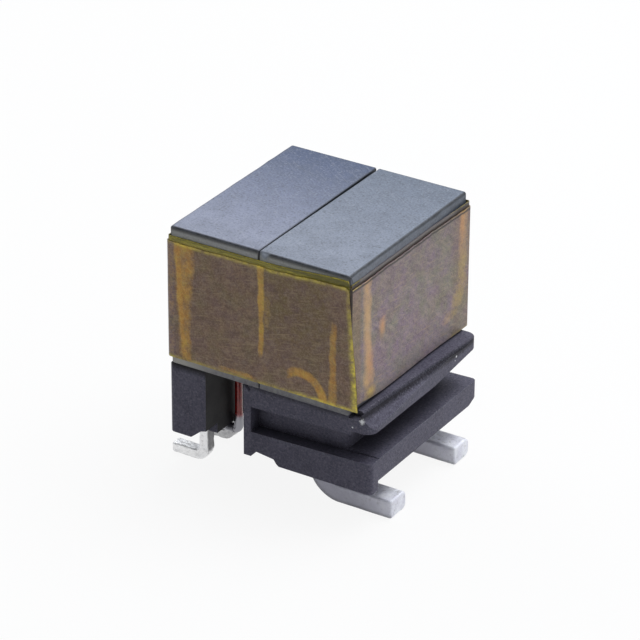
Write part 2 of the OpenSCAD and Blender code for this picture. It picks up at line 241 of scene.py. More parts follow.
class Nodes:
    """Short calls that add nodes to a tree."""

    def __init__(self, tree):
        self.tree = tree

    def plug(self, socket, value):
        """Links an output to a socket, or sets the socket to a constant."""
        if isinstance(value, bpy.types.NodeSocket):
            self.tree.links.new(value, socket)
        else:
            socket.default_value = value

    def node(self, kind, sockets=None, **settings):
        """Adds a node, makes its settings, fills its sockets and gives its outputs."""
        made = self.tree.nodes.new("ShaderNode" + kind)
        for name, value in settings.items():
            setattr(made, name, value)
        for socket, value in (sockets or {}).items():
            self.plug(made.inputs[socket], value)
        return made.outputs

    def vector(self, operation, a, b=(0, 0, 0)):
        return self.node("VectorMath", {0: a, 1: b}, operation=operation)

    def math(self, operation, a, b):
        return self.node("Math", {0: a, 1: b}, operation=operation)[0]

    def plus(self, a, b):
        return self.math("ADD", a, b)

    def times(self, a, b):
        return self.math("MULTIPLY", a, b)

    def range(self, value, low, high, to_low=0.0, to_high=1.0):
        """Value mapped from low..high to to_low..to_high, held at the ends."""
        limits = {"From Min": low, "From Max": high, "To Min": to_low, "To Max": to_high}
        return self.node("MapRange", {"Value": value, **limits})["Result"]

    def mix(self, factor, first, second):
        """Mixes two colours, each of them an output or a display colour."""
        first, second = (tone(*shown) if isinstance(shown, tuple) else shown for shown in (first, second))
        return self.node("Mix", {0: factor, 6: first, 7: second}, data_type="RGBA")[2]

    def blend(self, value, low, high, first, second):
        """Goes from one colour to another as a value goes from low to high."""
        return self.mix(self.range(value, low, high), first, second)

    def over(self, colour, *layers):
        """Lays display colours over a colour. A layer is a value, where its colour starts and is full, its
        share there, and the colour."""
        for value, start, full, share, shown in layers:
            colour = self.mix(self.range(value, start, full, 0.0, share), colour, shown)
        return colour


class Finish(Nodes):
    """A material with one Principled shader; places are in millimetres."""

    def __init__(self, name, constants):
        self.material = bpy.data.materials.new(name)
        self.material.use_nodes = True
        super().__init__(self.material.node_tree)
        self.shader = self.tree.nodes["Principled BSDF"]
        for socket, value in constants.items():
            self.set(socket, value)
        self.place = self.vector("MULTIPLY", self.node("TexCoord")["Object"], (1 / MM,) * 3)[0]

    def set(self, socket, value):
        self.plug(self.shader.inputs[socket], value)

    def axes(self):
        """The three coordinates."""
        return tuple(self.node("SeparateXYZ", {0: self.place}))

    def stretched(self, by, place=None):
        """The place, multiplied along each axis."""
        return self.vector("MULTIPLY", place or self.place, by)[0]

    def turned(self, axis, degrees, by):
        """The place, turned about an axis and then multiplied along each axis."""
        sockets = {"Vector": self.place, "Axis": axis, "Angle": math.radians(degrees)}
        return self.stretched(by, self.node("VectorRotate", sockets, rotation_type="AXIS_ANGLE")["Vector"])

    def noise(self, scale, detail=3.0, rough=0.55, place=None):
        sockets = {"Vector": place or self.place, "Scale": scale, "Detail": detail, "Roughness": rough}
        return self.node("TexNoise", sockets)["Fac"]

    def mark(self, name):
        """A value kept in the mesh."""
        return self.node("Attribute", attribute_name=name)["Fac"]

    def beside(self, start, end):
        """Distance from the line through two points: the length of a cross product with its direction."""
        along = (Vector(end) - Vector(start)).normalized()
        across = self.vector("CROSS_PRODUCT", self.vector("SUBTRACT", self.place, start)[0], along)[0]
        return self.vector("LENGTH", across)["Value"]

    def bump(self, height, depth, strength):
        """Surface relief: height 0..1 stands for depth millimetres."""
        sockets = {"Strength": strength, "Distance": depth * MM, "Height": height}
        self.set("Normal", self.node("Bump", sockets)["Normal"])


def ferrite_finish(name, front, rear):
    """Ground ferrite: blue-grey with grain, faint grinding marks and a pale fresh break, and painted light
    and
    shade: paler in front, a pale front strip, darker sides, a pale highlight on the low strip and dark edges."""
    made = Finish(name, {"IOR": 1.5, "Roughness": 0.5})
    x, y, z = made.axes()
    grain = made.noise(9.0, 4.0, 0.75)
    clouds = made.noise(0.8, 4.0, 0.6)
    pits = made.noise(4.0, 4.0, 0.7)
    grinding = made.noise(1.0, 3.0, 0.6, made.turned((0, 0, 1), 35, (0.5, 9.0, 1.0)))
    # Painted light and shade on the top: paler in front, darker to the rear, and a little darker near the
    # front edge.
    colour = made.over(
        made.blend(y, -HALF_W, HALF_W, front, rear),
        (y, 1.7 - HALF_W, 0.3 - HALF_W, 0.26, (84, 90, 102)),
        (clouds, 0.4, 0.7, 0.3, (78, 84, 94)),
        (grinding, 0.55, 0.75, 0.25, (150, 154, 164)),
        (pits, 0.55, 0.7, 0.3, (150, 155, 164)),
        (pits, 0.45, 0.3, 0.4, (62, 66, 74)),
        (grain, 0.52, 0.72, 0.6, (156, 161, 170)),
        (grain, 0.48, 0.3, 0.7, (44, 48, 55)))
    # Upright faces painted by how they face: pale on the front as painted light, dark on the other sides as
    # painted shade.
    side = made.mark("side")
    front_face = made.range(y, 0.1 - HALF_W, 0.03 - HALF_W)
    upright = made.mix(front_face, (44, 46, 46), (168, 165, 144))
    colour = made.mix(made.times(side, 0.44), colour, upright)
    # The low strip is painted pale as a highlight of the rounded lower edge, most towards the left.
    low_strip_light = made.blend(x, -4.8, -2.4, (170, 166, 158), (88, 85, 92))
    low_strip_share = made.times(made.mark("low_strip"), made.range(pits, 0.3, 0.65, 0.4, 1.0))
    colour = made.mix(low_strip_share, colour, low_strip_light)
    # Painted shade: dark lines along the rounded edges and just under the front top edge.
    edge = made.times(made.mark("edge"), made.range(pits, 0.3, 0.6, 0.75, 1.0))
    shade_under_top_edge = made.times(made.range(z, CORE_TOP - 0.26, CORE_TOP - 0.12, 0.0, 0.8), front_face)
    dark = made.math("MAXIMUM", edge, made.times(shade_under_top_edge, side))
    colour = made.mix(dark, colour, (28, 31, 36))
    made.set("Base Color", made.mix(made.mark("fresh"), colour, (140, 146, 156)))
    made.set("Roughness", made.range(grain, 0.3, 0.7, 0.42, 0.62))
    made.bump(grain, 0.012, 0.6)
    return made.material


class FilmFinish(Finish):
    """Amber film: brown where it is bonded, golden where it stands off, greyer where a sheen is painted,
    olive where the inner turn shows on the front and painted dark as shade elsewhere, and bright at its cut
    edges."""

    def __init__(self):
        super().__init__("film_amber", {"IOR": 1.55, "Roughness": 0.4, "Specular IOR Level": 0.32})
        self.z = self.axes()[2]
        # self.pale is the mark of the painted sheen, a grey reflection painted on the side faces.
        self.pale, self.tint = self.mark("haze"), self.mark("tint")
        self.blotches = self.noise(1.9, 5.0, 0.7)
        self.mottle = self.noise(5.5, 5.0, 0.75)
        self.speckle = self.noise(14.0, 3.0, 0.7)
        self.scratches = self.noise(1.0, 4.0, 0.65, self.turned((0.45, 0.9, 0.0), 14, (1.0, 1.0, 13.0)))
        colour = self.mix(self.loose_share(), self.bonded(), self.golden())
        ember = self.times(self.mark("ember"), self.range(self.mottle, 0.36, 0.6, 0.2, 0.7))
        colour = self.mix(ember, colour, (196, 136, 86))
        # Painted shadow: a dark line just under the outer turn's upper edge on the right face.
        colour = self.mix(self.times(self.mark("rim"), 0.92), colour, (40, 30, 26))
        colour = self.mix(self.range(self.mark("outer"), 0.9, 0.4), colour, self.inner_turn())
        edge = self.blend(self.pale, 0.0, 0.77, (250, 230, 84), (84, 74, 66))
        cut = self.times(self.mark("cut"), self.range(self.noise(2.4, 4.0, 0.75), 0.36, 0.62, 0.15, 1.0))
        self.set("Base Color", self.mix(cut, colour, edge))
        self.set("Roughness", self.range(self.blotches, 0.3, 0.7, 0.34, 0.5))
        relief = self.plus(self.times(self.scratches, 0.7), self.times(self.mottle, 0.8))
        self.bump(self.plus(relief, self.times(self.speckle, 0.4)), 0.014, 0.7)

    def loose_share(self):
        """How golden a place is: the mark of the loose places with frayed sides, weaker under the painted
        sheen.
        """
        loose = self.mark("loose")
        fray = self.math("SUBTRACT", self.noise(6.5, 6.0, 0.85), 0.5)
        fray = self.times(fray, self.range(loose, 0.0, 0.3, 0.0, 1.3))
        share = self.range(self.plus(loose, fray), 0.16, 0.8)
        return self.times(share, self.range(self.pale, 0.2, 0.8, 0.88, 0.7))

    def bonded(self):
        """Brown with blotches and clouds, a painted grey sheen on the side faces, a weave, speckles and
        scratches.
        """
        clouds = self.noise(0.85, 4.0, 0.65)
        colour = self.blend(self.blotches, 0.34, 0.66, (100, 74, 60), (134, 106, 80))
        olive = self.times(self.range(self.blotches, 0.36, 0.62, 0.1, 0.9), self.tint)
        colour = self.over(
            self.mix(olive, colour, (104, 84, 38)),
            (clouds, 0.5, 0.64, 0.45, (112, 98, 56)),
            (clouds, 0.48, 0.36, 0.4, (112, 84, 84)))
        # Painted sheen: a grey reflection, darker towards the top and painted lighter low down against the
        # shade there.
        sheen_tone = self.over(
            self.blend(clouds, 0.38, 0.62, (130, 108, 140), (118, 124, 108)),
            (self.blotches, 0.36, 0.64, 0.5, (124, 116, 122)),
            (self.z, CORE_Z + 3.0, CORE_Z + 7.0, 0.4, (104, 92, 100)),
            (self.z, CORE_Z + 1.8, CORE_Z, 0.6, (150, 142, 160)))
        colour = self.over(
            self.mix(self.pale, colour, sheen_tone),
            (self.noise(0.5, 4.0, 0.6), 0.5, 0.36, 0.2, (110, 84, 62)))
        weave = self.noise(1.7, 4.0, 0.7, self.turned((1, 0, 0), 38, (1.0, 0.5, 2.2)))
        coarse = self.range(self.pale, 0.0, 0.7, 1.0, 1.9)
        light = self.times(coarse, self.range(weave, 0.5, 0.68, 0.0, 0.2))
        dark = self.times(coarse, self.range(weave, 0.46, 0.32, 0.0, 0.24))
        colour = self.mix(light, colour, (172, 156, 142))
        return self.over(
            self.mix(dark, colour, (76, 62, 60)),
            (self.mottle, 0.52, 0.68, 0.3, (168, 146, 120)),
            (self.mottle, 0.48, 0.3, 0.38, (58, 44, 38)),
            (self.speckle, 0.5, 0.7, 0.36, (176, 156, 134)),
            (self.speckle, 0.46, 0.28, 0.45, (52, 43, 42)),
            (self.scratches, 0.56, 0.7, 0.45, (172, 150, 112)))

    def golden(self):
        """Amber with yellow blotches, paler under the painted sheen, and dark speckles."""
        colour = self.over(
            self.blend(self.mottle, 0.35, 0.7, (190, 128, 40), (220, 176, 84)),
            (self.blotches, 0.5, 0.66, 0.5, (206, 182, 70)),
            (self.pale, 0.0, 0.91, 1.0, (208, 166, 116)))
        return self.over(
            self.mix(self.times(self.tint, 0.7), colour, (198, 176, 84)),
            (self.speckle, 0.45, 0.28, 0.45, (112, 80, 42)))

    def inner_turn(self):
        """Streaked olive on the front, with painted shade at its top and painted light below; elsewhere
        painted dark brown as shade, with a painted grey highlight on the upper edge under the sheen.
        """
        streaks = self.noise(1.0, 5.0, 0.7, self.stretched((1.6, 1.6, 11.0)))
        # On the front, painted shade at the top of the strip and painted light just below it.
        olive = self.over(
            self.blend(streaks, 0.36, 0.6, (118, 112, 42), (176, 164, 58)),
            (streaks, 0.58, 0.7, 0.8, (204, 190, 104)),
            (self.z, TAPE_TOP - 0.14, TAPE_TOP - 0.02, 0.7, (68, 64, 8)),
            (self.z, TAPE_TOP - 0.16, TAPE_TOP - 0.26, 0.6, (190, 176, 112)))
        # Elsewhere painted dark brown as shade, with a painted grey highlight on the upper edge under the
        # sheen.
        brown = self.blend(self.mottle, 0.4, 0.6, (30, 24, 21), (58, 42, 34))
        top = self.range(self.z, TAPE_TOP - 0.18, TAPE_TOP - 0.08, 0.0, 0.85)
        brown = self.mix(self.times(top, self.range(self.pale, 0.3, 0.6)), brown, (112, 106, 106))
        colour = self.mix(self.mark("olive"), brown, olive)
        return self.over(colour, (self.speckle, 0.45, 0.28, 0.4, (58, 51, 22)))


def moulding_finish():
    """Moulded plastic: slate blue with an eroded grain, painted highlights on the rounded edges, painted
    shade under the core, in sheltered places, along the groove and on the fine block's inner face, and
    painted glints."""
    made = Finish("moulding_slate", {"IOR": 1.5, "Roughness": 0.5, "Specular IOR Level": 0.12})
    x, _, z = made.axes()
    clouds = made.noise(0.9, 4.0, 0.6)
    grain = made.noise(9.0, 5.0, 0.8)
    # Painted shade in sheltered places, from ambient occlusion.
    openness = made.node("AmbientOcclusion", {"Distance": 2.6 * MM}, samples=8)["AO"]
    colour = made.over(
        made.blend(clouds, 0.3, 0.7, (76, 74, 88), (93, 91, 105)),
        (grain, 0.52, 0.68, 0.75, (122, 120, 131)),
        (grain, 0.47, 0.32, 0.75, (40, 38, 44)),
        (openness, 0.6, 0.2, 0.6, (14, 13, 14)))
    # Painted highlights along the rounded edges.
    edge_highlight = made.times(made.mark("edge_highlight"), made.range(made.noise(1.4, 4.0, 0.7), 0.35, 0.6, 0.3, 0.9))
    colour = made.mix(edge_highlight, colour, (178, 178, 188))
    # Painted shade under the core's overhang.
    near = made.times(made.range(z, CORE_Z - 0.66, CORE_Z - 0.26, 0.0, 0.94), made.range(x, -2.6, -3.2))
    far = made.times(made.range(z, CORE_Z - 0.46, CORE_Z - 0.26, 0.0, 0.5), made.range(x, 5.0, 4.6))
    colour = made.mix(made.math("MAXIMUM", near, far), colour, (10, 10, 12))
    # Painted shade along the groove, and on the fine block's face towards the gap.
    from_groove = made.plus(made.beside(*GROOVE), made.range(grain, 0.3, 0.7, -0.06, 0.06))
    colour = made.over(
        colour,
        (from_groove, 0.3, 0.06, 0.82, (12, 11, 14)),
        (made.mark("inner"), 0.0, 1.0, 0.95, (14, 14, 14)))
    # Small painted glints.
    for *place, radius in PAINTED_GLINTS:
        away = made.vector("DISTANCE", made.place, place)["Value"]
        away = made.plus(away, made.range(grain, 0.35, 0.65, -0.4 * radius, 0.4 * radius))
        colour = made.over(colour, (away, radius, 0.5 * radius, 0.9, (236, 236, 238)))
    made.set("Base Color", colour)
    made.set("Roughness", made.range(clouds, 0.3, 0.7, 0.4, 0.56))
    made.bump(made.plus(grain, made.times(clouds, 0.6)), 0.016, 0.6)
    return made.material


def tin_finish(name, bright, dull, grey, metal, rough, pitted):
    """Dipped tin: pale satin metal with dull patches, dark pits and dimples, and painted shade: grey sides
    and dark low edges.
    """
    made = Finish(name, {"Metallic": metal, "Roughness": rough, "IOR": 1.5})
    patches = made.noise(1.5, 4.0, 0.6)
    dimples = made.noise(4.5, 4.0, 0.6)
    grain = made.noise(20.0, 3.0, 0.65)
    colour = made.over(
        made.blend(patches, 0.35, 0.65, dull, bright),
        (grain, 0.5, 0.75, 0.35, (242, 243, 246)),
        (grain, 0.42, 0.28, 0.5, (128, 126, 132)),
        (dimples, 0.44, 0.28, pitted, (132, 128, 122)))
    # Painted shade: grey on the marked side, dark on the low edges.
    side = made.times(made.mark("side"), made.range(patches, 0.3, 0.7, 1.0, 0.8))
    colour = made.mix(side, colour, grey)
    made.set("Base Color", made.mix(made.mark("low"), colour, (74, 74, 80)))
    made.set("Roughness", made.range(patches, 0.3, 0.7, rough - 0.06, rough + 0.1))
    made.bump(made.plus(dimples, made.times(grain, 0.3)), 0.06, 0.8)
    return made.material


def wire_finish():
    """Enamelled wire: deep red lacquer over copper, and bright tin where the tail was dipped."""
    made = Finish("wire_enamel", {"IOR": 1.5, "Coat Weight": 0.3, "Coat Roughness": 0.08})
    tinned = made.mark("tinned")
    red = made.blend(made.noise(2.4, 3.0, 0.6), 0.3, 0.7, (122, 10, 8), (160, 30, 20))
    made.set("Base Color", made.mix(tinned, red, (146, 146, 152)))
    made.set("Metallic", made.range(tinned, 0.0, 1.0, 0.1, 0.95))
    made.set("Roughness", made.range(tinned, 0.0, 1.0, 0.22, 0.38))
    made.bump(made.noise(7.0), 0.01, 0.4)
    return made.material


def band_finish():
    """Thin insulating film round the coil: yellow amber with faint wrinkles."""
    made = Finish("band_film", {"IOR": 1.6, "Roughness": 0.3})
    wrinkles = made.noise(1.6, 4.0, 0.6, made.stretched((2.5, 0.7, 0.7)))
    made.set("Base Color", made.blend(wrinkles, 0.3, 0.7, (150, 104, 40), (188, 146, 70)))
    made.bump(wrinkles, 0.03, 0.6)
    return made.material


# Core

# Angles of the points round an edge
EDGE_TURN = quarter(8)


def arc_corners(points, radius, counts):
    """Polyline whose inner corners become quarter arcs; counts gives the points on each straight. The second
    result is the share of the way round an arc, and 0 on the straights."""
    run, share = [], []
    start = points[0]
    for here, after, count in zip(points[1:], points[2:], counts):
        back, ahead = unit(start - here), unit(after - here)
        run.append(np.linspace(start, here + back * radius, count, endpoint=False))
        centre = here + (back + ahead) * radius
        run.append(centre - radius * (np.outer(np.cos(EDGE_TURN), ahead) + np.outer(np.sin(EDGE_TURN), back)))
        share += [np.zeros(count), np.linspace(0, 1, len(EDGE_TURN))]
        start = here + ahead * radius
    run.append(np.linspace(start, points[-1], counts[-1] + 1)[1:])
    share.append(np.zeros(counts[-1]))
    return np.concatenate(run), np.concatenate(share)


def core_paths():
    """Paths across the core's axis, of as many points each: over the block, over the winding space and along
    the underside; then the first path's shares of its arcs."""
    lip = (HALF_W + CAVITY_R) / 2
    block = [[-lip, 0], [-HALF_W, 0], [-HALF_W, CORE_H], [HALF_W, CORE_H], [HALF_W, 0], [lip, 0]]
    outer, arc_share = arc_corners(np.array(block), CORE_EDGE, (4, 26, 60, 26, 4))
    wall = [[-lip, 0], [-CAVITY_R, 0], [-CAVITY_R, POST_RISE]]
    wall = arc_corners(np.array(wall), CORE_EDGE, (4, 8))[0]
    angle = np.linspace(math.pi, 0, 97)[1:-1]
    arch = np.stack([CAVITY_R * np.cos(angle), POST_RISE + CAVITY_R * np.sin(angle)], -1)
    inner = spread(np.concatenate([wall, arch, wall[::-1] * (-1, 1)]), len(outer))
    underside = np.stack([np.linspace(-lip, lip, len(outer)), np.zeros(len(outer))], -1)
    return outer, inner, underside, arc_share


def closed_loop(outer, lower):
    """One closed loop of an outer and a lower path between the same ends, and its outward normals."""
    points = np.concatenate([outer, lower[-2:0:-1]])
    along = unit(np.roll(points, -1, 0) - np.roll(points, 1, 0))
    return points, np.stack([-along[:, 1], along[:, 0]], -1)


def core_rings():
    """Rings of the section from the seam to the end face, the lower path dropping to the underside at the end
    wall. Near both ends a ring is drawn in along its normals by radius * (1 - sin) or radius * (1 - cos), so
    the edges are round and unevenly rubbed down. Then a mark of the edges, where the finish paints dark lines
    of shade, and the outer path's count of points."""
    outer, inner, underside, arc_share = core_paths()
    open_loop, open_out = closed_loop(outer, inner)
    shut_loop, shut_out = closed_loop(outer, underside)
    sine, cosine = np.sin(EDGE_TURN), np.cos(EDGE_TURN)
    near_seam = SEAM_GAP + SEAM_EDGE
    fine_part = 0.9
    over_space = [SEAM_GAP + SEAM_EDGE * (1 - cosine), np.linspace(near_seam, fine_part, 18)[1:],
                  np.linspace(fine_part, WINDOW, 10)[1:]]
    over_wall = [np.linspace(WINDOW, HALF_L - END_EDGE, 8), HALF_L - END_EDGE * (1 - sine[1:])]
    x = np.concatenate(over_space + over_wall)
    straight = np.zeros(len(x) - 2 * len(EDGE_TURN) + 1)
    inset = np.concatenate([SEAM_EDGE * (1 - sine), straight, END_EDGE * (1 - cosine[1:])])
    # The edge mark is where the finish paints dark lines of shade.
    edge = np.concatenate([cosine, straight, np.sin(2 * EDGE_TURN[1:])])
    shut = (np.arange(len(x)) >= sum(map(len, over_space)))[:, None, None]
    loops, out = np.where(shut, shut_loop, open_loop), np.where(shut, shut_out, open_out)
    x = np.broadcast_to(x[:, None, None], (*loops.shape[:2], 1))
    wear = 1 + 0.4 * ripple(np.concatenate([loops, x], -1), 1.3, 3)
    drawn = loops - out * (inset[:, None] * wear)[..., None]
    long_edges = np.zeros(len(open_loop))
    long_edges[:len(outer)] = np.sin(math.pi * arc_share) ** 0.5
    return np.concatenate([x, drawn], -1), np.maximum(long_edges, edge[:, None]), len(outer)


def centre_post():
    """The round post: circles along the axis, a little smaller at the free end."""
    x = np.array([0.0, 0.02, 0.06, WINDOW, WINDOW + 0.3])
    across, up = circles(POST_R - np.array([0.06, 0.02, 0.0, 0.0, 0.0]), 64)
    return tube(np.stack(np.broadcast_arrays(x[:, None], across, POST_RISE + up), -1))


def chip(points):
    """Small break in the front top edge beside the seam: points move in and down by a bell curve. The bell is
    the second result, for the pale colour of the break."""
    middle = (0.32, -HALF_W, CORE_H)
    reach = (0.24, 0.2, 0.26)
    near = np.exp(-(((points - middle) / reach) ** 2).sum(1) * 1.4)
    return points + near[:, None] * (0, 0.16, -0.14), near


def core_half(side, name, node, finish):
    """One half of the core: a grid over its rings, two flat ends ruled between outer and lower path, and the
    post. The seam opens a little towards the rear."""
    rings, edges, count = core_rings()
    columns = rings.shape[1]
    upper = np.arange(count)
    lower = np.concatenate([[0], np.arange(columns - 1, count - 1, -1), [count - 1]])
    flat_end = np.stack([upper[:-1], upper[1:], lower[1:], lower[:-1]], -1)
    quads = [grid_quads(len(rings), columns), flat_end, flat_end + (len(rings) - 1) * columns]
    points, edges = rings.reshape(-1, 3), edges.reshape(-1)
    points[:, 0] += SEAM_OPEN * step(points[:, 1], -HALF_W, HALF_W) * step(points[:, 0], 0.6, 0.0)
    fresh = np.zeros(len(points))
    if side > 0:
        points, fresh = chip(points)
    # Marks for painted light and shade: the upright faces, the low strip painted pale and the edges painted
    # dark.
    upright = step(CORE_H - points[:, 2], 0.03, 0.1)
    low_strip = step(points[:, 2], 0.6, 0.3)
    marks = {"edge": edges * (1 - fresh) * (1 - 0.6 * low_strip), "fresh": fresh, "side": upright * (1 - fresh),
             "low_strip": low_strip}
    post = centre_post()
    marks = {mark: np.concatenate([values, np.zeros(len(post[0]))]) for mark, values in marks.items()}
    points, quads = joined([(points, np.concatenate(quads)), post])
    points = points * (side, 1, 1) + (SEAM_X, 0, CORE_Z)
    add_piece(name, node, "ferrite", finish, points, quads, marks, sharp_angle=35)


# Film

# Places where the film stands off the core: face, middle along it at the low and high end, half width there,
# low, high, strength
LOOSE_BANDS = (
    ("front", -4.28, -4.31, 0.28, 0.6, 0.3, 7.4, 0.72),
    ("front", -4.32, -4.7, 0.18, 0.2, 0.4, 7.4, 0.95),
    ("front", -5.1, -5.1, 0.2, 0.2, 0.4, 7.2, 0.34),
    ("front", 0.2, 0.22, 0.12, 0.2, 2.0, 7.4, 1.0),
    ("front", 0.58, 0.56, 0.16, 0.2, 3.6, 5.4, 0.4),
    ("front", 4.32, 4.36, 0.24, 0.17, 0.2, 5.0, 0.72),
    ("right", -4.08, -4.14, 0.3, 0.3, 1.0, 7.4, 1.0),
    ("right", -3.8, -3.9, 0.4, 0.22, 1.0, 3.0, 0.75),
    ("right", -3.8, -3.85, 0.46, 0.4, 0.3, 1.0, 1.0),
    ("right", -2.75, -2.75, 0.26, 0.26, 3.2, 4.3, 0.75),
    ("right", 4.85, 5.0, 0.42, 0.32, 2.4, 7.4, 0.6),
    ("right", 4.45, 4.8, 0.52, 0.46, 1.7, 2.8, 0.66),
    ("right", 3.6, 4.2, 0.75, 0.55, 1.1, 1.9, 0.55),
    ("rear", -4.2, -4.2, 0.3, 0.5, 0.3, 7.4, 0.9),
    ("rear", 0.05, 0.05, 0.18, 0.22, 1.0, 7.4, 0.9),
    ("rear", 4.1, 4.2, 0.3, 0.36, 0.3, 6.2, 0.8),
    ("left", -4.4, -4.5, 0.3, 0.4, 0.2, 7.4, 0.9),
    ("left", 4.4, 4.4, 0.3, 0.4, 0.8, 7.4, 0.8),
)
# Orange places on the right face: middle along the face, height, half width, half height
EMBERS = ((-3.9, 2.1, 0.3, 0.9), (-2.75, 3.75, 0.22, 0.5), (4.8, 6.3, 0.2, 0.8))
# Rounding of the upper corner of the film's free end
END_ROUND = 0.5
# Arch-shaped loose place low on the front: middle along the face, height of its centre, radius, half width
LOOSE_ARCH = (2.5, 0.42, 1.3, 0.3)


def round_path(side_samples, corner_samples):
    """Once round the core, from the front end of the right side: base points and outward normals."""
    turn = quarter(corner_samples + 2)[1:-1]
    reach = np.array([HALF_L, HALF_W]) - FILM_BEND
    base, out = [], []
    for heading, samples in enumerate(side_samples):
        angle = heading * math.pi / 2
        normal = np.array([math.cos(angle), math.sin(angle)])
        along = np.array([-normal[1], normal[0]])
        half, depth = reach @ np.abs(along), reach @ np.abs(normal)
        run = np.linspace(-half, half, samples)[:, None]
        bend = np.stack([np.cos(angle + turn), np.sin(angle + turn)], -1)
        base += [normal * (depth + FILM_BEND) + along * run, normal * depth + along * half + FILM_BEND * bend]
        out += [np.broadcast_to(normal, (samples, 2)), bend]
    return np.concatenate(base), np.concatenate(out)


def film_sheet():
    """Points of the film wound twice round the core. Rows go along the path, which lies one step further out
    after the first turn; columns go up the inner face and down the outer one. The last rows run along the
    front and straight past the corner to a slanted cut with a round upper corner."""
    corner_rows, front_rows = 10, 190
    first, first_out = round_path((40, 40, 40, 40), corner_rows)
    second, second_out = round_path((150, 60, 60, front_rows), corner_rows)
    base = np.concatenate([first, second[:-corner_rows]])
    out = np.concatenate([first_out, second_out[:-corner_rows]])
    number = np.arange(len(base))
    turn = (number >= len(first)).astype(float)
    rise = step(number, len(first) - corner_rows - 4, len(first))
    along_front = np.clip((number - len(base) + front_rows) / (front_rows - 1), 0, 1)
    front, right, left = (np.clip(out @ way, 0, 1) ** 2 for way in ((0, -1), (1, 0), (-1, 0)))

    inner_up = np.linspace(0, 1, 8)
    outer_up = np.concatenate([[1, 0.9975, 0.992], np.linspace(0.985, 0.015, 82), [0.008, 0.0025, 0]])
    up = np.concatenate([inner_up, outer_up])
    margin, tuck, end_past, end_slant = 0.014, 0.14, 0.06, 0.48
    place = np.column_stack([base, turn * 3])
    wander = 0.012 * ripple(place, 2.2, 5)
    jagged = 0.035 * ripple(place, 0.9, 6)
    dip = 0.3 * right * step(base[:, 1], -HALF_W, -0.4 * HALF_W)
    climb = (0.28 - 0.1 * turn) * step(base[:, 0], 0.3, HALF_L) * front
    drop = (0.26 + jagged) * rise * (0.75 + 0.25 * turn)
    low = (TAPE_BOTTOM + tuck * (1 - turn) + margin + wander - dip * turn)[:, None]
    high = (TAPE_TOP - drop - margin + wander[::-1] + climb)[:, None]
    height = low + (high - low) * up

    fall = step(TAPE_TOP - height, 0.0, TAPE_TOP - TAPE_BOTTOM)
    near_top = np.clip((height - high + END_ROUND) / END_ROUND, 0, 1)
    end_x = HALF_L + end_past + end_slant * fall - 0.5 * END_ROUND * (1 - np.sqrt(1 - near_top ** 2))
    end_x = end_x + 0.022 * ripple(np.stack([height, 0 * height, 0 * height], -1), 0.7, 15)
    start_x = FILM_BEND - HALF_L
    last_side = (number >= len(base) - front_rows)[:, None]
    x = np.where(last_side, start_x + (end_x - start_x) * along_front[:, None], base[:, :1])
    return SimpleNamespace(
        x=x, y=np.repeat(base[:, 1:], len(up), 1), height=height, level=height - CORE_Z, out=out,
        above_low=height - low, below_high=high - height, fall=fall,
        from_end=np.where(last_side, end_x - x, np.inf), turn=turn[:, None],
        outer=np.repeat([0.0, 1.0], [len(inner_up), len(outer_up)]),
        lie=(0.005 + FILM_STEP * rise + 0.006 * step(along_front, 0.9, 1.0))[:, None],
        front=front[:, None], right=right[:, None], left=left[:, None])


def loose_amount(film):
    """How far the film stands off, 0 to about 1: upright bands with wandering sides, an arch, a streak."""
    x, y, level = film.x, film.y, film.level
    faces = {"front": (film.out[:, 1] < -0.9, x), "rear": (film.out[:, 1] > 0.9, x),
             "right": (film.out[:, 0] > 0.9, y), "left": (film.out[:, 0] < -0.9, y)}
    place = np.stack([x, y, level], -1)
    sway = ripple(place, 2.6, 11) * 0.06 + ripple(place, 0.8, 12) * 0.06
    patchy = 0.8 + 0.28 * ripple(place, 1.0, 13)
    total = np.zeros_like(x)
    for face, middle_low, middle_high, half_low, half_high, low, high, strength in LOOSE_BANDS:
        on_face, along = faces[face]
        up = np.clip((level - low) / (high - low), 0, 1)
        across = np.abs(along + sway - middle_low - (middle_high - middle_low) * up)
        across = across / (half_low + (half_high - half_low) * up)
        ends = step(level + 2 * sway, low - 0.3, low + 0.4) * step(level + sway, high + 0.3, high - 0.4)
        sides = step(across, 2.0, 0.1) if face == "right" else step(across, 1.6, 0.5)
        total = np.maximum(total, strength * sides * ends * on_face[:, None])
    middle, centre, radius, half = LOOSE_ARCH
    off_arch = np.abs(np.hypot(x - middle, level - centre) + sway * 0.6 - radius)
    arch = step(off_arch, 1.2 * half, 0.4 * half) * step(x, middle - 0.95, middle - 0.55)
    streak = step(np.abs(level + sway * 0.4 - 0.66), 0.2, 0.05) * step(np.abs(x + 1.2), 1.4, 0.6)
    on_front = faces["front"][0][:, None]
    return np.maximum(total, np.maximum(0.95 * arch, 0.7 * streak) * on_front) * patchy


def cut_mark(film):
    """Bright places: the film's edges, and soft margins along its free end, lower edge and upper edge."""
    free_end = step(film.from_end, 0.26 + 0.2 * film.fall, 0.06) * (0.4 + 0.6 * step(film.fall, 0.25, 0.6))
    ends = 0.35 + 0.5 * step(film.x, 0.5, 3.5) + 0.6 * step(film.x, -4.7, -5.1)
    on_front, on_right = film.front > 0.5, film.right > 0.5
    low_margin = step(film.above_low, 0.24, 0.02) * (ends * on_front + 0.4 * on_right)
    high_margin = step(film.below_high, 0.22, 0.05) * 0.52 * on_front
    margins = np.maximum(np.maximum(free_end, low_margin), high_margin) * film.turn * film.outer
    edge = np.zeros(len(film.outer))
    first_outer = np.argmax(film.outer)
    edge[[0, first_outer - 1, first_outer, -1]] = 1.0
    edge[[first_outer + 1, -2]] = 0.35
    return np.clip(np.maximum(edge * (0.35 + 0.1 * film.front), margins), 0, 1)


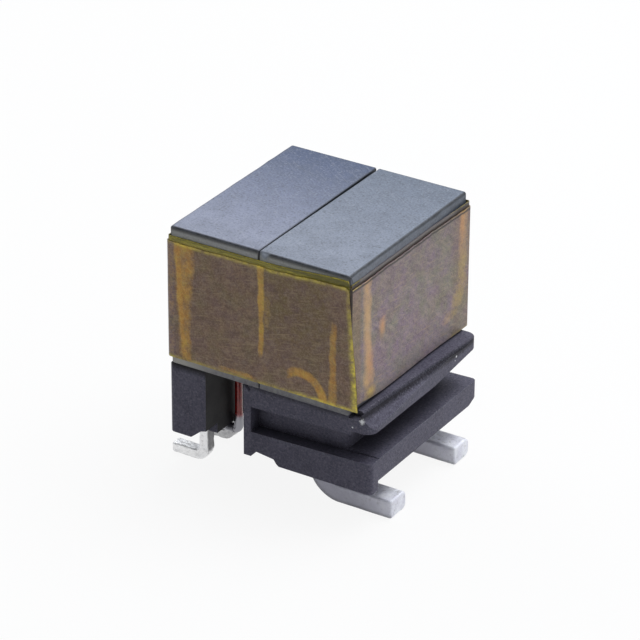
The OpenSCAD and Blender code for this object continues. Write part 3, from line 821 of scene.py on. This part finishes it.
def film_marks(film):
    """Colour marks: cut edges, painted sheen, outer turn, olive strip, tint, embers and a painted shadow
    line.
    """
    x, y, level, front, right = film.x, film.y, film.level, film.front, film.right
    # The painted sheen: on the right face, most away from its front corner and yellow places; weaker on the
    # rear and left faces and near the front's left end.
    by_corner = step(y, 0.7 - HALF_W, 1.05 - HALF_W)
    yellow = bell(y, -3.9, 0.6) * bell(level, 0.6, 0.5)
    clear = np.maximum(0.75 * yellow, 0.6 * step(y, 3.6, 4.4))
    haze = (0.16 + 0.62 * by_corner * (1 - clear)) * right + 0.25 * (1 - front - right)
    haze = haze + 0.35 * step(x, -4.75, -5.05) * front
    olive = step(film.height, TAPE_TOP - 0.6, TAPE_TOP - 0.4) * np.clip(front - right, 0, 1)
    tint = front * step(x, -0.6, 1.4) * step(level, 1.2, 4.8) * step(x, 4.6, 3.6)
    tint = tint + np.maximum(yellow, 0.8 * step(y, 3.2, 4.2) * step(level, 5.5, 3.5)) * right
    # Painted shadow line just under the outer turn's upper edge, on the right face.
    rim = step(film.below_high, 0.16, 0.1) * step(film.below_high, 0.03, 0.05)
    ember = sum(bell(y, middle, wide) * bell(level, up, tall) for middle, up, wide, tall in EMBERS)
    return {"cut": cut_mark(film), "haze": haze, "outer": film.turn, "olive": olive, "tint": tint,
            "ember": np.clip(ember * right * film.outer, 0, 1), "rim": rim * right * film.turn * film.outer}


def core_film(finish):
    """The film: a closed tube of its sections. A point stands out from its path by the turn's lie, the film's
    thickness, the loose places, fine wrinkles and the slack of the corners."""
    film = film_sheet()
    loose = loose_amount(film) * film.turn * film.outer
    wrinkle = 0.005 * ripple(np.stack([film.x, film.y, 0.5 * film.height], -1), 1.6, 16) * film.outer
    slack = 0.11 * film.right * step(film.y, 1.5, HALF_W) + 0.04 * film.left
    reach = film.lie + FILM_T * film.outer + 0.014 * loose + wrinkle + slack
    x = film.x + film.out[:, :1] * reach + SEAM_X
    rings = np.stack([x, film.y + film.out[:, 1:] * reach, film.height], -1)
    marks = {"loose": loose, **film_marks(film)}
    marks = {mark: on_tube(np.broadcast_to(values, loose.shape)) for mark, values in marks.items()}
    add_piece("core_film", "core_tape", "film", finish, *tube(rings), marks, sharp_angle=50)


# Conductors and moulding


def bend_path(inner_x, top, end_x, thick, radius):
    """Centre line of a lead in X and Z: down a leg with one side at inner_x, through a quarter circle and
    along a foot to end_x. The second result is the direction of its thickness."""
    way = np.sign(end_x - inner_x)
    mid = radius - thick / 2
    leg_rows, bend_rows, foot_rows = 24, 21, 39
    leg = np.stack([np.full(leg_rows, inner_x + way * thick / 2), np.linspace(top, radius, leg_rows)], -1)
    angle = quarter(bend_rows + 1)[1:]
    bend = np.stack([inner_x + way * (radius - mid * np.cos(angle)), radius - mid * np.sin(angle)], -1)
    foot = np.linspace(inner_x + way * radius, end_x, foot_rows + 1)[1:]
    foot = np.stack([foot, np.full(foot_rows, thick / 2)], -1)
    side = np.concatenate([np.tile([-way, 0.0], (leg_rows, 1)),
                           np.stack([-way * np.cos(angle), -np.sin(angle)], -1),
                           np.tile([0.0, -1.0], (foot_rows, 1))])
    return np.concatenate([leg, bend, foot]), side


def lead_rings(section, path, y):
    """A section carried along a lead's centre line at y, its second measure along the lead's thickness."""
    line, side = path
    centre = np.insert(line, 1, y, axis=1)[:, None]
    depth = np.insert(side, 1, 0.0, axis=1)[:, None]
    return centre + section[None, :, :1] * (0.0, 1.0, 0.0) + section[None, :, 1:] * depth


def blunt_end(rings, ahead, radius):
    """Rounds the last ring of a bar: five more rings that step ahead by radius * sin and draw in by
    radius * (1 - cos)."""
    angle = quarter(6)[1:, None, None]
    middle = rings[-1].mean(0)
    span = np.linalg.norm(rings[-1] - middle, axis=1, keepdims=True)
    drawn = (rings[-1] - middle) * (1 - radius * (1 - np.cos(angle)) / span)
    return np.concatenate([rings, middle + drawn + radius * np.sin(angle) * (ahead, 0, 0)])


def uneven(rings, wavelength, depth, seed):
    """Draws each point in towards the middle of its ring by 0 to depth, along a smooth ripple."""
    middle = rings.mean(1, keepdims=True)
    span = np.linalg.norm(rings - middle, axis=-1, keepdims=True)
    amount = depth * 0.5 * (1 + np.clip(ripple(rings, wavelength, seed), -1, 1))[..., None]
    return middle + (rings - middle) * (1 - amount / span)


def heavy_turn(finish):
    """The heavy conductor: a rounded section carried from one foot up its leg, over the tube in a half circle
    and down to the other foot."""
    end_r, arc_rows = 0.12, 48
    rise = BAR_HIGH[2] - BAR_HIGH[1]
    path = bend_path(BAR_LOW[0], rise, BAR_HIGH[0] - end_r, BAR_T, BAR_BEND)
    section = rounded_loop(BAR_W / 2, BAR_T / 2, 0.34, 0.12, 96)
    front, rear = (blunt_end(uneven(lead_rings(section, path, y), 1.3, 0.016, seed), 1, end_r)
                   for y, seed in ((-BAR_Y, 21), (BAR_Y, 22)))
    angle = np.linspace(math.pi, 0, arc_rows + 2)[1:-1]
    radial = np.stack([np.zeros(arc_rows), np.cos(angle), np.sin(angle)], -1)[:, None]
    centre = (BAR_LOW[0] + BAR_T / 2, 0, rise) + BAR_Y * radial
    arc = centre - section[None, :, :1] * radial + section[None, :, 1:] * (-1.0, 0.0, 0.0)
    turned = section * (-1, 1)
    order = np.argmin(np.linalg.norm(turned[:, None] - section[None], axis=-1), 1)
    rings = np.concatenate([front[::-1], arc, rear[:, order]])
    # Painted shade: the side of the bar that faces the front is grey near the feet and dark towards its lower
    # edge.
    front_side = np.full(rings.shape[:2], -BAR_Y - BAR_W / 2)
    front_side[len(front) + arc_rows // 2:] = BAR_Y - BAR_W / 2
    grey = step(np.abs(rings[..., 1] - front_side), 0.14, 0.04)
    low = grey * step(section[:, 1] / BAR_T, 0.2, 0.48) * 0.6
    grey = grey * step(rings[..., 0], BAR_HIGH[0] + 1.0, BAR_HIGH[0] - 2.2)
    marks = {"side": on_tube(grey, end=0), "low": on_tube(low, end=0)}
    add_piece("heavy_turn", "primary_turn", "tinned_bar", finish, *tube(rings), marks)


def fine_pin(number, finish):
    """A fine terminal: a rounded, uneven section carried down out of the block and along its foot."""
    node = f"pin_{number}"
    low, high = corners(node)
    end_r, edge_r = 0.2, 0.1
    section = rounded_loop((high[1] - low[1]) / 2, PIN_T / 2, edge_r, edge_r, 56)
    path = bend_path(high[0], high[2], low[0] + end_r, PIN_T, PIN_BEND)
    rings = uneven(lead_rings(section, path, (low[1] + high[1]) / 2), 0.4, 0.05, 30 + number)
    rings = blunt_end(rings, -1, end_r)
    # The leg's face towards +X is painted grey as shade. The other terminals are grey all over.
    grey = step(high[0] - rings[..., 0], 0.1, 0.03) * step(rings[..., 2], 0.4, 0.8)
    if number > 1:
        grey = np.maximum(grey, 0.6)
    # Painted shade: dark on the underside of the foot.
    underneath = 0.5 * step(rings[..., 2], 0.12, 0.02)
    marks = {"side": on_tube(grey, end=0), "low": on_tube(underneath, end=0)}
    add_piece(f"fine_pin_{number}", node, "tinned_pin", finish, *tube(rings), marks)


def soft_moulding(finish):
    """The coil former: its solid with flat faces made whole and every sharp edge rounded in three steps. The
    rounded strips are marked for painted highlights, and the fine block's face towards the gap as inner, for
    painted shade."""
    mesh = frame["nodes"]["coil_former"].data.copy()
    mesh.name = "moulded_former"
    work = bmesh.new()
    work.from_mesh(mesh)
    bmesh.ops.remove_doubles(work, verts=work.verts, dist=1e-7)
    bmesh.ops.dissolve_limit(work, angle_limit=math.radians(1.0), verts=work.verts, edges=work.edges)
    for mark in ("edge_highlight", "inner"):
        work.faces.layers.float.new(mark)
    edge_highlight, inner = (work.faces.layers.float[mark] for mark in ("edge_highlight", "inner"))
    sharp = [edge for edge in work.edges if edge.is_manifold and edge.calc_face_angle() > math.radians(35)]
    made = bmesh.ops.bevel(work, geom=sharp, offset=MOULD_EDGE * MM, segments=3, profile=0.5, affect="EDGES",
                           clamp_overlap=True)
    work.normal_update()
    for face in work.faces:
        face.smooth = False
        # The inner face gets painted shade in the finish.
        face[inner] = float(face.normal.x > 0.9 and -4.0 < face.calc_center_median().x / MM < -3.0)
    for face in made["faces"]:
        face.smooth = True
        face[edge_highlight] = 1.0
    work.to_mesh(mesh)
    work.free()
    settle("moulded_former", mesh, "coil_former", finish)


def wire_tube(path, radius, sides):
    """Closed round wire along a path: circles square to it, begun square to X, or to Y where it nears X."""
    ahead = unit(np.gradient(path, axis=0))
    first = np.cross(ahead, [1.0, 0.0, 0.0])
    weak = np.linalg.norm(first, axis=1) < 0.3
    first[weak] = np.cross(ahead[weak], [0.0, 1.0, 0.0])
    first = unit(first)
    across, up = circles(1.0, sides)
    circle = across[..., None] * first[:, None] + up[..., None] * np.cross(ahead, first)[:, None]
    return tube(path[:, None] + radius * circle)


def quarter_turn(centre, start, end, count):
    """Quarter circle about a centre, from centre + start to centre + end."""
    angle = quarter(count)[:, None]
    return centre + np.cos(angle) * start + np.sin(angle) * end


def lead_path(way):
    """Centre line of a lead: down beside the block, a quarter turn under it, along to the terminal, and a
    quarter turn onto the terminal's face."""
    low, high = corners("pin_2")
    face_y = -low[1]
    tail_x = high[0] - PIN_T / 2
    tail_z = COIL_BOTTOM + WIRE_R
    small, wide = LEAD_TURN, LEAD_Y - face_y - JOINT_H - WIRE_R / 2
    top = CORE_Z + POST_RISE - math.sqrt(BAND_HIGH[1] ** 2 - LEAD_Y ** 2) + 2 * WIRE_R
    y = way * LEAD_Y
    drop = np.linspace([LEAD_X, y, top], [LEAD_X, y, tail_z + small], 30)[:-1]
    under = quarter_turn((LEAD_X - small, y, tail_z + small), (small, 0, 0), (0, 0, -small), 9)
    onto = quarter_turn((tail_x + wide, y - way * wide, tail_z), (0, way * wide, 0), (-wide, 0, 0), 12)
    return np.concatenate([drop, under, onto, [[tail_x, way * face_y, tail_z]]])


def wound_coil(finish):
    """The winding: one wire in four layers of a helix, whose radius steps out at each end of the coil, and
    two leads that run down the block, under its edge and square onto a terminal."""
    layers, turns, per_turn = 4, 11.5, 40
    low_x, high_x = BAND_LOW[0] + WIRE_R, BAND_HIGH[0] - WIRE_R
    inner_r, outer_r = COIL_BORE_R + WIRE_R, BAND_HIGH[1] - BAND_WALL - WIRE_R
    travel = np.linspace(0, layers, int(layers * turns * per_turn))
    layer = np.minimum(np.floor(travel), layers - 1)
    share = travel - layer
    climb = step(share, 1 - 0.5 / turns, 1.0) * (layer < layers - 1)
    radius = inner_r + (outer_r - inner_r) * (layer + climb) / (layers - 1)
    forward = np.where(layer % 2 == 0, share, 1 - share)
    angle = 2 * math.pi * turns * travel
    x, y = low_x + (high_x - low_x) * forward, radius * np.cos(angle)
    helix = np.stack([x, y, CORE_Z + POST_RISE + radius * np.sin(angle)], -1)
    parts = [wire_tube(helix, WIRE_R * 0.98, 8)]
    tinned = [np.zeros(len(parts[0][0]))]
    for way in (-1, 1):
        path = lead_path(way)
        coated = step(path[:, 2], TINNED_Z + 0.3, TINNED_Z - 0.3)
        parts.append(wire_tube(path, WIRE_R + 0.05 * coated[:, None, None], 16))
        tinned.append(step(parts[-1][0][:, 2], TINNED_Z + 0.15, TINNED_Z - 0.15))
    points, quads = joined(parts)
    add_piece("wound_coil", "secondary_winding", "enamel", finish, points, quads,
              {"tinned": np.concatenate(tinned)})


def solder_joint(way, name, node, finish):
    """A collar of solder where a lead meets its terminal: turned about the wire, its radius falling from the
    terminal's face outwards as (1 - share) ** 2.2, with a slight ripple."""
    low, high = corners(node)
    middle = (low + high) / 2
    share = np.linspace(0, 1, 14)
    foot_r, tip_r = (high[0] - low[0]) / 2, WIRE_R + 0.015
    across, up = circles(tip_r + (foot_r - tip_r) * (1 - share) ** 2.2, 32)
    face_y = low[1] if way > 0 else high[1]
    y = face_y + way * (high[1] - low[1]) * share
    rings = np.stack(np.broadcast_arrays(middle[0] + across, y[:, None], middle[2] + up), -1)
    add_piece(name, node, "solder", finish, *tube(uneven(rings, 0.3, 0.012, 50 + way)))


# Camera, light and floor

# Viewpoint as seen from the middle of the core's underside, in degrees, millimetres and pixels
VIEW_AZIMUTH = 31.686
VIEW_ELEVATION = 28.117
VIEW_ROLL = 0.39
VIEW_DISTANCE = 181.17
FOCAL_PIXELS = 3578.8
IMAGE_PIXELS = 640
AIM_RIGHT = 0.0557
AIM_UP = 1.225
SENSOR = 36.0


def viewpoint():
    """Camera on a ray from the middle of the core's underside, aimed a little above it and rolled."""
    azimuth, elevation, roll = map(math.radians, (VIEW_AZIMUTH, VIEW_ELEVATION, VIEW_ROLL))
    level = Vector((math.cos(azimuth), math.sin(azimuth), 0))
    back = Vector((math.sin(azimuth), -math.cos(azimuth), 0)) * math.cos(elevation)
    back.z = math.sin(elevation)
    rise = back.cross(level)
    right = math.cos(roll) * level + math.sin(roll) * rise
    up = math.cos(roll) * rise - math.sin(roll) * level
    middle = Vector((SEAM_X, 0, CORE_Z))
    place = middle + back * VIEW_DISTANCE
    back = (place - middle - right * AIM_RIGHT - up * AIM_UP).normalized()
    right = up.cross(back).normalized()
    data = bpy.data.cameras.new("viewpoint")
    data.sensor_width = SENSOR
    data.lens = FOCAL_PIXELS / IMAGE_PIXELS * SENSOR
    data.clip_start = 0.001
    data.clip_end = 20.0
    camera = bpy.data.objects.new("viewpoint", data)
    turn = Matrix((right, back.cross(right), back)).transposed().to_4x4()
    camera.matrix_world = Matrix.Translation(place * MM) @ turn
    bpy.context.scene.collection.objects.link(camera)
    bpy.context.scene.camera = camera


def soft_light(name, place, size, power, colour):
    """Square soft lamp turned to the middle of the part; its place and size are in millimetres."""
    lamp = bpy.data.lights.new(name, "AREA")
    lamp.size = size * MM
    lamp.energy = power
    lamp.color = colour
    made = bpy.data.objects.new(name, lamp)
    made.location = Vector(place) * MM
    aim = Vector((0, 0, 7))
    made.rotation_euler = (aim - Vector(place)).to_track_quat("-Z", "Y").to_euler()
    bpy.context.scene.collection.objects.link(made)


def studio():
    """Pale floor, a world light and soft lamps: one above, one on each side."""
    scene = bpy.context.scene
    scene.view_settings.view_transform = "Standard"
    world_glow()
    soft_light("overhead", (30, 60, 170), 130, 0.3, (0.95, 0.97, 1.0))
    soft_light("right_side", (120, 90, 120), 120, 0.045, (0.97, 0.98, 1.0))
    soft_light("left_side", (-130, 50, 110), 120, 0.07, (0.97, 0.98, 1.0))
    half, drop = 2500 * MM, 0.02 * MM
    mesh = bpy.data.meshes.new("floor")
    mesh.from_pydata([(-half, -half, -drop), (half, -half, -drop), (half, half, -drop), (-half, half, -drop)],
                     [], [(0, 1, 2, 3)])
    floor = bpy.data.objects.new("floor", mesh)
    scene.collection.objects.link(floor)
    mesh.materials.append(floor_finish())


def world_glow():
    """World light that falls off smoothly from the bright side, behind and above, to the dim front."""
    world = bpy.data.worlds.new("studio")
    bpy.context.scene.world = world
    world.use_nodes = True
    made = Nodes(world.node_tree)
    bright_side = Vector((0.35, 0.7, 0.6)).normalized()
    facing = made.vector("DOT_PRODUCT", made.node("TexCoord")["Generated"], bright_side)["Value"]
    back = made.tree.nodes["Background"]
    made.plug(back.inputs["Color"], (0.93, 0.96, 1.0, 1))
    made.plug(back.inputs["Strength"], made.range(facing, -0.5, 0.8, 0.14, 0.55))


def floor_finish():
    """Pale floor: white to the camera and in reflections, with part of its own shading, so shadows stay."""
    material = bpy.data.materials.new("floor_pale")
    material.use_nodes = True
    made = Nodes(material.node_tree)
    made.tree.nodes.remove(made.tree.nodes["Principled BSDF"])
    rays = made.node("LightPath")
    seen = made.math("MAXIMUM", rays["Is Camera Ray"], rays["Is Glossy Ray"])
    shaded = made.node("BsdfDiffuse", {"Color": (0.7, 0.7, 0.7, 1)})[0]
    white = made.node("Emission", {"Color": (1, 1, 1, 1), "Strength": 1.0})[0]
    surface = made.node("MixShader", {0: made.times(seen, 0.9), 1: shaded, 2: white})[0]
    made.plug(made.tree.nodes["Material Output"].inputs["Surface"], surface)
    return material


viewpoint()
studio()
# Each half's two tones are the front and rear ends of the gradient painted on its top as light and shade.
core_half(-1, "ferrite_left", "core_half_left",
          ferrite_finish("ferrite_left_half", (141, 146, 165), (62, 76, 106)))
core_half(1, "ferrite_right", "core_half_right",
          ferrite_finish("ferrite_right_half", (133, 140, 155), (99, 109, 125)))
core_film(FilmFinish().material)
# The third tone of each tin is the grey painted as shade on its marked side.
heavy_turn(tin_finish("tin_bar", (243, 244, 250), (220, 220, 232), (186, 185, 199), metal=0.2, rough=0.4,
                      pitted=0.55))
pin_tin = tin_finish("tin_pin", (255, 255, 255), (240, 240, 242), (86, 86, 89), metal=0.8, rough=0.36,
                     pitted=0.5)
for number in (1, 2, 3, 4):
    fine_pin(number, pin_tin)
soft_moulding(moulding_finish())
wound_coil(wire_finish())
solder_joint(-1, "joint_front", "solder_start", pin_tin)
solder_joint(1, "joint_rear", "solder_finish", pin_tin)
band = frame["nodes"]["winding_tape"]
band.data.materials.clear()
band.data.materials.append(band_finish())
